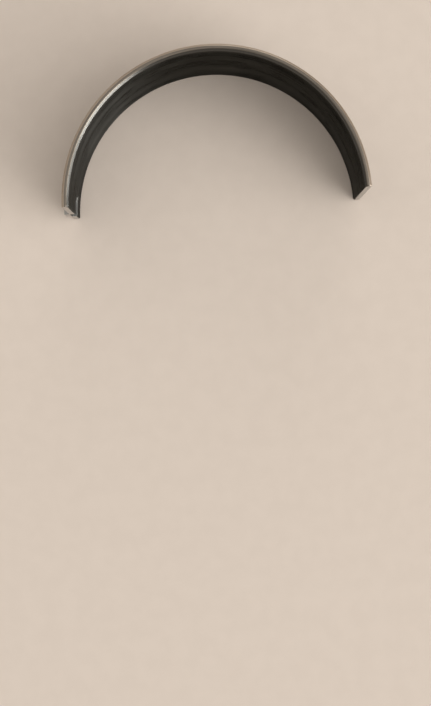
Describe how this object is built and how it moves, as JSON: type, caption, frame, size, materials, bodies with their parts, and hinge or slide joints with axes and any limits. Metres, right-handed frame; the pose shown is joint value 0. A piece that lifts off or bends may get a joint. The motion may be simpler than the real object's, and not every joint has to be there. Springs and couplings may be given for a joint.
{
  "type": "engine bearing shell",
  "caption": "Half-round thin-walled plain bearing shell with chamfered edges and a locating lug, which lines half of a split housing and carries a crankshaft journal.",
  "frame": {"origin": "middle of the footprint, on the side face that the shell rests on; the bearing axis is parallel to Z and passes through x 0.5 mm, y -15.9 mm", "axes": "+Z along the bearing axis, +Y towards the crown, X across the two joint faces, with the lug at -X"},
  "size_m": [0.0636, 0.0308, 0.026],
  "materials": {
    "bearing_metal": "satin steel back with a darker, smoother running face and bright turned edges"
  },
  "bodies": {
    "root": {"bearing_shell": "bearing_metal"}
  },
  "joints": []
}
